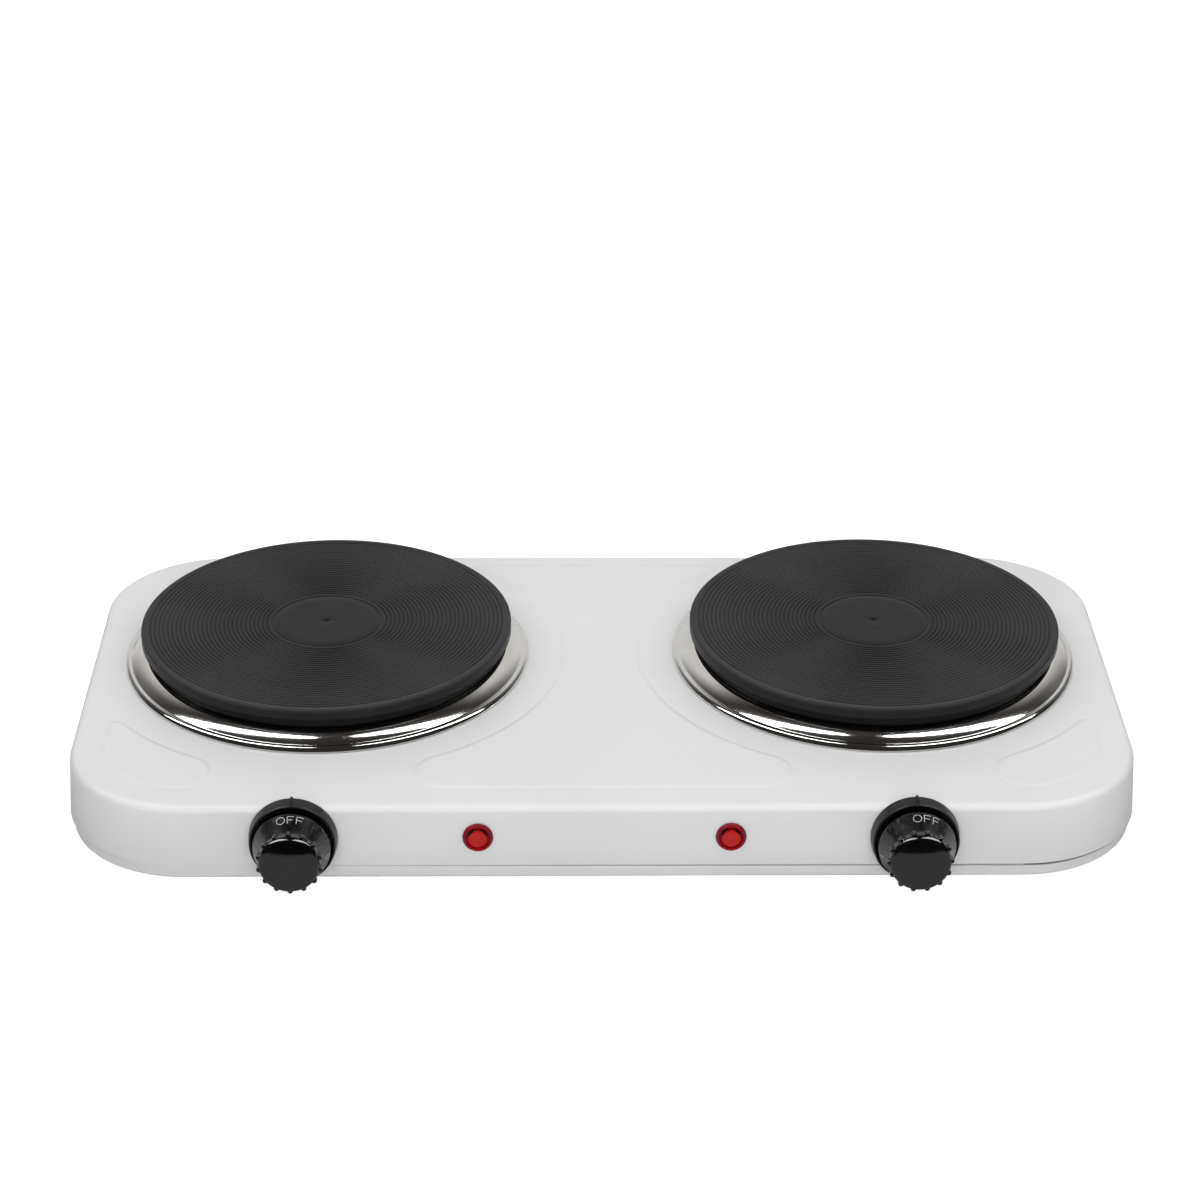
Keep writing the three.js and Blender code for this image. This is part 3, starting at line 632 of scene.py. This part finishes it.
# ---- materials ---------------------------------------------------------------------
class Nodes:
    def __init__(self, name):
        self.mat = bpy.data.materials.new(name)
        self.mat.use_nodes = True
        self.t = self.mat.node_tree
        self.p = self.t.nodes["Principled BSDF"]
        self.coord = self.t.nodes.new("ShaderNodeTexCoord").outputs["Object"]

    def set(self, **kw):
        for k, v in kw.items():
            self.p.inputs[k.replace("_", " ")].default_value = v

    def link(self, a, b):
        self.t.links.new(a, b)

    def noise(self, scale, detail=3.0, rough=0.5, vec=None, kind="Fac"):
        n = self.t.nodes.new("ShaderNodeTexNoise")
        n.inputs["Scale"].default_value = scale
        n.inputs["Detail"].default_value = detail
        n.inputs["Roughness"].default_value = rough
        self.link(vec or self.coord, n.inputs["Vector"])
        return n.outputs[kind]

    def range(self, src, a, b, lo, hi):
        n = self.t.nodes.new("ShaderNodeMapRange")
        for i, v in enumerate((a, b, lo, hi)):
            n.inputs[i + 1].default_value = v
        self.link(src, n.inputs[0])
        return n.outputs[0]

    def math(self, op, a, b=None):
        n = self.t.nodes.new("ShaderNodeMath")
        n.operation = op
        for i, v in enumerate((a, b)):
            if v is None:
                continue
            if isinstance(v, (int, float)):
                n.inputs[i].default_value = v
            else:
                self.link(v, n.inputs[i])
        return n.outputs[0]

    def mix(self, fac, a, b):
        n = self.t.nodes.new("ShaderNodeMix")
        n.data_type = "RGBA"
        for i, v in ((6, a), (7, b)):
            if isinstance(v, tuple):
                n.inputs[i].default_value = (*v, 1.0)
            else:
                self.link(v, n.inputs[i])
        self.link(fac, n.inputs[0])
        return n.outputs[2]

    def bump(self, height, strength, distance, prev=None):
        n = self.t.nodes.new("ShaderNodeBump")
        n.inputs["Strength"].default_value = strength
        n.inputs["Distance"].default_value = distance
        self.link(height, n.inputs["Height"])
        if prev is not None:
            self.link(prev, n.inputs["Normal"])
        return n.outputs["Normal"]

    def polar(self, centre_mm, plane="XY"):
        """(radius, angle) about a vertical axis, in object space."""
        sub = self.t.nodes.new("ShaderNodeVectorMath")
        sub.operation = "SUBTRACT"
        sub.inputs[1].default_value = [c * MM for c in centre_mm]
        self.link(self.coord, sub.inputs[0])
        sep = self.t.nodes.new("ShaderNodeSeparateXYZ")
        self.link(sub.outputs[0], sep.inputs[0])
        x, y = sep.outputs[0], sep.outputs[1]
        r = self.math("SQRT", self.math("ADD", self.math("MULTIPLY", x, x), self.math("MULTIPLY", y, y)))
        return r, self.math("ARCTAN2", y, x), sep.outputs[2]

    def combine(self, *v):
        n = self.t.nodes.new("ShaderNodeCombineXYZ")
        for i, s in enumerate(v):
            if isinstance(s, (int, float)):
                n.inputs[i].default_value = s
            else:
                self.link(s, n.inputs[i])
        return n.outputs[0]

    def done(self, color=None, rough=None, normal=None):
        if color is not None:
            self.link(color, self.p.inputs["Base Color"])
        if rough is not None:
            self.link(rough, self.p.inputs["Roughness"])
        if normal is not None:
            self.link(normal, self.p.inputs["Normal"])
        return self.mat


def simple(name, a, b, r0, r1, scale, bump=0.1, dist=0.0001, **kw):
    n = Nodes(name)
    n.set(**kw)
    f = n.noise(scale, 5, 0.6)
    g = n.noise(scale * 9, 3, 0.6)
    return n.done(n.mix(n.range(f, 0.3, 0.7, 0, 1), a, b), n.range(g, 0.3, 0.7, r0, r1), n.bump(g, bump, dist))


def enamel():
    n = Nodes("white_enamel")
    n.set(IOR=1.50, Specular_IOR_Level=0.42, Coat_Weight=0.08, Coat_Roughness=0.2)
    cloud = n.noise(14, 3, 0.5)
    col = n.mix(n.range(cloud, 0.3, 0.7, 0, 1), (0.655, 0.660, 0.668), (0.690, 0.694, 0.698))
    rough = n.range(n.noise(38, 4, 0.6), 0.3, 0.7, 0.36, 0.46)
    peel = n.bump(n.noise(300, 2, 0.5), 0.10, 0.00012)
    peel = n.bump(n.noise(1300, 2, 0.5), 0.06, 0.00004, peel)
    return n.done(col, rough, peel)


def cast_iron(sx):
    n = Nodes("cast_iron_left" if sx < 0 else "cast_iron_right")
    n.set(IOR=1.45, Specular_IOR_Level=0.24)
    r, a, z = n.polar((sx * PLATE_X, PLATE_Y, 0))
    ringed = n.noise(1.0, 3, 0.6, n.combine(n.math("MULTIPLY", r, 900.0), n.math("MULTIPLY", a, 0.8), 0.0))
    grain = n.noise(1500, 4, 0.65)
    blot = n.noise(45, 4, 0.6)
    col = n.mix(n.range(blot, 0.3, 0.72, 0, 1), (0.0180, 0.0163, 0.0180), (0.0250, 0.0228, 0.0246))
    col = n.mix(n.range(ringed, 0.45, 0.75, 0, 0.5), col, (0.026, 0.0235, 0.0245))
    # The hub inside the first groove is a little darker. The iron is painted darker towards the centre as painted
    # shade, and the side band under the rim and the recess below it are painted near black as painted shade.
    col = n.mix(n.range(r, 0.0200, 0.0240, 0.75, 0.0), col, (0.005, 0.005, 0.0055))
    # Painted shade: the iron darkens towards the centre of the plate.
    col = n.mix(n.range(r, 0.0100, 0.0680, 0.90, 0.0), col, (0.004, 0.004, 0.0045))
    # Painted shade on the side band under the rim.
    col = n.mix(n.range(z, (Z_PLATE - 1.2) * MM, (Z_PLATE - 0.5) * MM, 0.65, 0.0), col, (0.0035, 0.0035, 0.0040))
    # Painted shade in the recess under the rim, where the gap above the trim ring lies in shadow.
    col = n.mix(n.range(z, (Z_PLATE - 4.6) * MM, (Z_PLATE - 3.9) * MM, 1.0, 0.0), col, (0.0035, 0.0035, 0.0035))
    rough = n.range(grain, 0.3, 0.7, 0.34, 0.48)
    nor = n.bump(grain, 0.22, 0.00006)
    nor = n.bump(ringed, 0.10, 0.00005, nor)
    return n.done(col, rough, nor)


def stainless(sx):
    n = Nodes("stainless_left" if sx < 0 else "stainless_right")
    n.set(Metallic=1.0)
    r, a, z = n.polar((sx * PLATE_X, PLATE_Y, 0))
    line = n.noise(1.0, 3, 0.6, n.combine(n.math("MULTIPLY", r, 5200.0), n.math("MULTIPLY", a, 1.5), n.math("MULTIPLY", z, 5200.0)))
    smear = n.noise(60, 3, 0.6)
    col = n.mix(n.range(smear, 0.3, 0.7, 0, 1), (0.71, 0.695, 0.675), (0.77, 0.757, 0.740))
    col = n.mix(n.range(z, 0.0462, 0.0480, 0, 0.30), col, (0.70, 0.63, 0.52))
    rough = n.range(line, 0.3, 0.75, 0.06, 0.11)
    return n.done(col, rough, n.bump(line, 0.02, 0.00002))


def bakelite():
    n = Nodes("bakelite")
    n.set(IOR=1.50, Specular_IOR_Level=0.62)
    f = n.noise(90, 4, 0.6)
    g = n.noise(2200, 3, 0.6)
    sep = n.t.nodes.new("ShaderNodeSeparateXYZ")
    n.link(n.coord, sep.inputs[0])
    # The grip and face are polished by use; the skirt keeps its flow marks from moulding.
    back = n.range(sep.outputs[1], (Y_FRONT - 19.0) * MM, (Y_FRONT - 17.5) * MM, 0, 1)
    flow = n.noise(1.0, 4, 0.65, n.combine(n.math("MULTIPLY", sep.outputs[0], 700.0), n.math("MULTIPLY", sep.outputs[1], 160.0), n.math("MULTIPLY", sep.outputs[2], 700.0)))
    col = n.mix(n.range(f, 0.3, 0.7, 0, 1), (0.0014, 0.0014, 0.0017), (0.0030, 0.0030, 0.0035))
    col = n.mix(n.math("MULTIPLY", back, n.range(flow, 0.42, 0.70, 0, 1)), col, (0.0125, 0.0118, 0.0118))
    smooth = n.range(f, 0.3, 0.7, 0.07, 0.13)
    rough = n.math("ADD", smooth, n.math("MULTIPLY", back, n.range(flow, 0.3, 0.7, 0.06, 0.22)))
    nor = n.bump(g, 0.05, 0.00002)
    nor = n.bump(n.math("MULTIPLY", back, flow), 0.22, 0.00010, nor)
    return n.done(col, rough, nor)


def collar():
    n = Nodes("satin_collar")
    n.set(IOR=1.48, Specular_IOR_Level=0.36)
    f = n.noise(120, 4, 0.6)
    g = n.noise(2600, 3, 0.6)
    col = n.mix(n.range(f, 0.3, 0.7, 0, 1), (0.0040, 0.0040, 0.0046), (0.0075, 0.0075, 0.0084))
    return n.done(col, n.range(g, 0.3, 0.7, 0.28, 0.40), n.bump(g, 0.12, 0.00003))


def red_lens(sx):
    n = Nodes("red_lens_left" if sx < 0 else "red_lens_right")
    n.set(IOR=1.49, Specular_IOR_Level=0.42, Transmission_Weight=0.12, Subsurface_Weight=0.15, Subsurface_Scale=0.0015)
    n.p.inputs["Subsurface Radius"].default_value = (1.0, 0.1, 0.1)
    sub = n.t.nodes.new("ShaderNodeVectorMath")
    sub.operation = "SUBTRACT"
    sub.inputs[1].default_value = (sx * LAMP_X * MM, 0, CTRL_Z * MM)
    n.link(n.coord, sub.inputs[0])
    sep = n.t.nodes.new("ShaderNodeSeparateXYZ")
    n.link(sub.outputs[0], sep.inputs[0])
    x, z = sep.outputs[0], sep.outputs[2]
    r = n.math("SQRT", n.math("ADD", n.math("MULTIPLY", x, x), n.math("MULTIPLY", z, z)))
    across = n.math("ABSOLUTE", x)
    # Painted shadow: the groove round the disc is painted near black at its upper left and upper right, where shadow
    # falls from above.
    groove = n.math("MULTIPLY", n.range(r, 0.00335, 0.00365, 0, 1), n.range(r, 0.00425, 0.00480, 1, 0))
    groove = n.math("MULTIPLY", groove, n.range(z, -0.0004, 0.0016, 0.15, 1))
    groove = n.math("MULTIPLY", groove, n.range(across, 0.0006, 0.0018, 0.35, 1))
    col = n.mix(n.range(r, 0.00335, 0.00480, 0, 1), (0.50, 0.006, 0.006), (0.34, 0.003, 0.008))
    col = n.mix(groove, col, (0.016, 0.001, 0.002))
    # Painted shade: the rolled outer edge of the lens is painted a darker purple red, and more so on its left and
    # right sides.
    col = n.mix(n.range(r, 0.00500, 0.00575, 0, 0.7), col, (0.14, 0.0015, 0.012))
    col = n.mix(n.range(across, 0.0036, 0.0054, 0, 0.8), col, (0.090, 0.002, 0.020))
    blot = n.noise(500, 3, 0.5)
    col = n.mix(n.range(blot, 0.4, 0.75, 0, 0.35), col, (0.30, 0.002, 0.005))
    return n.done(col, n.range(blot, 0.3, 0.7, 0.06, 0.14), n.bump(blot, 0.05, 0.00005))


def drawn_sleeve(name, a, b):
    n = Nodes(name)
    w = n.t.nodes.new("ShaderNodeTexWave")
    w.wave_type = "BANDS"
    w.inputs["Scale"].default_value = 900
    w.inputs["Distortion"].default_value = 2.5
    n.link(n.coord, w.inputs["Vector"])
    f = n.noise(400, 4, 0.6)
    return n.done(n.mix(w.outputs["Fac"], a, b), n.range(f, 0.3, 0.7, 0.6, 0.85), n.bump(w.outputs["Fac"], 0.35, 0.0001))


MATS = {
    "white_enamel": enamel(),
    # Near-black painted shade for the flange faces inside the seam under the shell.
    "pan_flange": simple("pan_flange", (0.030, 0.029, 0.028), (0.060, 0.058, 0.055), 0.5, 0.7, 140, 0.15),
    "bakelite": bakelite(),
    "collar": collar(),
    "zinc_steel": simple("zinc_steel", (0.42, 0.43, 0.45), (0.58, 0.58, 0.56), 0.28, 0.48, 120, 0.12, Metallic=0.95),
    "ceramic": simple("ceramic", (0.66, 0.61, 0.50), (0.76, 0.72, 0.62), 0.30, 0.5, 160, 0.12),
    "magnesia": simple("magnesia", (0.50, 0.47, 0.40), (0.64, 0.60, 0.52), 0.80, 0.95, 220, 0.4, 0.0003),
    "rubber": simple("rubber", (0.010, 0.010, 0.010), (0.020, 0.020, 0.021), 0.60, 0.82, 200, 0.3, 0.0001),
    "brass": simple("brass", (0.55, 0.40, 0.15), (0.68, 0.52, 0.22), 0.25, 0.42, 150, 0.1, Metallic=1.0),
    "bimetal": simple("bimetal", (0.34, 0.29, 0.22), (0.47, 0.42, 0.34), 0.28, 0.42, 180, 0.1, Metallic=1.0),
    "sleeve": drawn_sleeve("glass_sleeve", (0.66, 0.62, 0.52), (0.78, 0.75, 0.66)),
    "earth_sleeve": drawn_sleeve("earth_sleeve", (0.10, 0.32, 0.05), (0.62, 0.62, 0.05)),
    "nylon": simple("nylon", (0.62, 0.60, 0.52), (0.72, 0.70, 0.62), 0.38, 0.55, 130, 0.1),
    "print": simple("dial_print", (0.32, 0.32, 0.33), (0.48, 0.48, 0.48), 0.45, 0.65, 1500, 0.1, 0.00002),
    "foil_steel": simple("element_steel", (0.30, 0.30, 0.31), (0.42, 0.41, 0.40), 0.30, 0.5, 80, 0.15, Metallic=0.9),
}
for sx, side in ((-1, "left"), (1, "right")):
    MATS["cast_iron_" + side] = cast_iron(sx)
    MATS["stainless_" + side] = stainless(sx)
    MATS["red_lens_" + side] = red_lens(sx)


def dress(ob, mat):
    ob.data.materials.clear()
    ob.data.materials.append(MATS[mat])


slots = {s["node"]: s["material_slot"] for s in frame["record"]["subparts"]}
for name, ob in frame["nodes"].items():
    s = slots[name]
    key = s if s in MATS else f"{s}_{'left' if name.startswith('left') else 'right'}"
    if name.endswith("element_cover"):
        key = "foil_steel"
    if not ob.material_slots:
        ob.data.materials.append(MATS[key])
    for ms in ob.material_slots:
        ms.material = MATS[key]


def place(ob, mat, body, nodes, slot):
    dress(ob, mat)
    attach(ob, body)
    if nodes:
        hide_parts(*nodes)
    return ob


place(top_shell(), "white_enamel", "housing", ["top_shell"], "white_enamel")
pan = place(base_pan(), "white_enamel", "housing", ["base_pan"], "white_enamel")
# The flange faces above the pan's edge take the painted shade, so the seam shows as a dark line, widest where the
# joint opens at the front right.
pan.data.materials.append(MATS["pan_flange"])
for f in pan.data.polygons:
    c = f.center / MM
    if c.z > PAN_EDGE - sag(c.x, c.y) + 0.03:
        f.material_index = 1
for sx, side in ((-1, "left"), (1, "right")):
    turn = math.radians(11) if sx > 0 else 0.0
    place(hot_plate(side, sx), "cast_iron_" + side, "housing", [side + "_hot_plate"], "cast_iron")
    place(trim_ring(side, sx), "stainless_" + side, "housing", [side + "_trim_ring"], "stainless")
    place(bezel(side, sx), "collar", "housing", [side + "_knob_bezel"], "bakelite")
    place(lens(side, sx), "red_lens_" + side, "housing", [side + "_lamp_lens"], "red_lens")
    place(knob(side, sx, turn), "bakelite", side + "_control", [side + "_knob"], "bakelite")
    place(dial_marks(side, sx, turn), "print", side + "_control", [], "bakelite")
for where in FEET:
    place(foot(where), "rubber", "housing", ["foot_" + where], "rubber")
    place(foot_screw(where), "zinc_steel", "housing", ["foot_screw_" + where], "zinc_steel")
place(gland(), "rubber", "housing", ["cord_gland"], "rubber")

# ---- stage -------------------------------------------------------------------------
def sheet_floor(name, x, y0, y1, z, glow, lo, hi):
    me = bpy.data.meshes.new(name)
    me.from_pydata([(-x, y0, z), (x, y0, z), (x, y1, z), (-x, y1, z)], [], [(0, 1, 2, 3)])
    ob = bpy.data.objects.new(name, me)
    bpy.context.scene.collection.objects.link(ob)
    n = Nodes(name)
    n.set(Roughness=0.9, Specular_IOR_Level=0.1)
    n.p.inputs["Emission Color"].default_value = (1, 1, 1, 1)
    n.p.inputs["Emission Strength"].default_value = glow
    n.done(n.mix(n.noise(3, 2, 0.5), (lo, lo, lo), (hi, hi, hi)))
    ob.data.materials.append(n.mat)
    return ob


# The floor that is seen, and the table top that reflects light back onto the object.
seen = sheet_floor("floor", 6, -6, 6, 0.0, 0.90, 0.40, 0.42)
seen.visible_diffuse = seen.visible_glossy = seen.visible_transmission = seen.visible_shadow = False
table = sheet_floor("table_top", 1.1, PLATE_Y * MM - 0.299, 1.3, -0.0005, 0.0, 0.50, 0.52)
table.visible_camera = False
# The pale sweep in front only lifts the shadows of the front wall.
sweep = sheet_floor("front_sweep", 1.6, -2.4, PLATE_Y * MM - 0.299, -0.0005, 1.15, 0.50, 0.52)
sweep.visible_camera = sweep.visible_glossy = False

# Studio surroundings: a pale backdrop behind the object, darkness in front and above.
world = bpy.context.scene.world or bpy.data.worlds.new("studio")
bpy.context.scene.world = world
world.use_nodes = True
wt = world.node_tree
bg = wt.nodes["Background"]
coord = wt.nodes.new("ShaderNodeTexCoord")
axes = wt.nodes.new("ShaderNodeSeparateXYZ")
wt.links.new(coord.outputs["Generated"], axes.inputs[0])


def ramp(src, a, b, lo, hi):
    n = wt.nodes.new("ShaderNodeMapRange")
    n.interpolation_type = "SMOOTHSTEP"
    for i, v in enumerate((a, b, lo, hi)):
        n.inputs[i + 1].default_value = v
    wt.links.new(src, n.inputs[0])
    return n.outputs[0]


def times(a, b):
    n = wt.nodes.new("ShaderNodeMath")
    n.operation = "MULTIPLY"
    wt.links.new(a, n.inputs[0])
    wt.links.new(b, n.inputs[1])
    return n.outputs[0]


lit = times(ramp(axes.outputs[1], 0.25, 0.70, 0.0, 1.0), ramp(axes.outputs[2], 0.62, 0.88, 1.0, 0.0))
wide = wt.nodes.new("ShaderNodeMath")
wide.operation = "ABSOLUTE"
wt.links.new(axes.outputs[0], wide.inputs[0])
lit = times(lit, ramp(wide.outputs[0], 0.48, 0.72, 1.0, 0.22))
shade_tone = wt.nodes.new("ShaderNodeMix")
shade_tone.data_type = "RGBA"
shade_tone.inputs[6].default_value = (0.006, 0.006, 0.006, 1)
shade_tone.inputs[7].default_value = (0.030, 0.027, 0.024, 1)
wt.links.new(ramp(axes.outputs[2], -0.05, 0.35, 0.0, 1.0), shade_tone.inputs[0])
tone = wt.nodes.new("ShaderNodeMix")
tone.data_type = "RGBA"
wt.links.new(shade_tone.outputs[2], tone.inputs[6])
tone.inputs[7].default_value = (0.72, 0.715, 0.705, 1)
wt.links.new(lit, tone.inputs[0])
wt.links.new(tone.outputs[2], bg.inputs[0])
bg.inputs[1].default_value = 1.0


def softbox(name, pos, target, w, h, power, tint=(1, 1, 1), mirrored=True):
    li = bpy.data.lights.new(name, "AREA")
    li.shape = "RECTANGLE"
    li.size, li.size_y, li.energy, li.color = w, h, power, tint
    ob = bpy.data.objects.new(name, li)
    ob.location = pos
    ob.rotation_euler = (Vector(target) - Vector(pos)).to_track_quat("-Z", "Y").to_euler()
    ob.visible_camera = False
    ob.visible_glossy = mirrored
    bpy.context.scene.collection.objects.link(ob)


def strip(name, a, b, width, power, target):
    """A long narrow softbox from a to b that faces the target."""
    a, b, t = Vector(a), Vector(b), Vector(target)
    y = (a - b).normalized()
    z = ((a + b) / 2 - t).normalized()
    x = y.cross(z).normalized()
    z = x.cross(y)
    softbox(name, (a + b) / 2, t, width, (a - b).length, power)
    ob = bpy.data.objects[name]
    ob.data.shape = "ELLIPSE"
    m = Matrix((x, y, z)).transposed().to_4x4()
    m.translation = (a + b) / 2
    ob.matrix_world = m


for sx, side in ((-1, "left"), (1, "right")):
    strip("softbox_" + side, (sx * 0.42, -0.50, 4.30), (sx * 4.20, 0.85, 2.20), 0.50, 66, (0, 0, 0.04))
softbox("front_fill", (0, -2.1, 0.8), (0, -0.05, 0.03), 2.0, 1.2, 31.5, mirrored=False)
softbox("high_fill", (0, -0.5, 2.6), (0, 0, 0.03), 2.0, 1.4, 13, mirrored=False)
softbox("rear_fill", (0, 2.0, 0.9), (0, 0.05, 0.03), 2.0, 1.0, 3, mirrored=False)

# ---- camera ------------------------------------------------------------------------
FOCAL, PITCH, YAW, ROLL = 3104.1212, 0.47712, 0.01603, 0.00574  # pixels of a 1200 frame, radians
cam_data = bpy.data.cameras.new("camera")
cam_data.sensor_width = 36.0
cam_data.lens = FOCAL * 36.0 / 1200.0
cam = bpy.data.objects.new("camera", cam_data)
bpy.context.scene.collection.objects.link(cam)
fwd = Vector((math.sin(YAW) * math.cos(PITCH), math.cos(YAW) * math.cos(PITCH), -math.sin(PITCH)))
right = Vector((math.cos(YAW), -math.sin(YAW), 0))
up = right.cross(fwd)
r2 = right * math.cos(ROLL) + up * math.sin(ROLL)
u2 = up * math.cos(ROLL) - right * math.sin(ROLL)
m = Matrix((r2, u2, -fwd)).transposed().to_4x4()
m.translation = Vector((-18.8202, -1157.4573 + PLATE_Y, 608.0993 + Z_PLATE)) * MM
cam.matrix_world = m
cam_data.clip_start, cam_data.clip_end = 0.01, 50
bpy.context.scene.camera = cam
bpy.context.scene.view_settings.view_transform = "Standard"
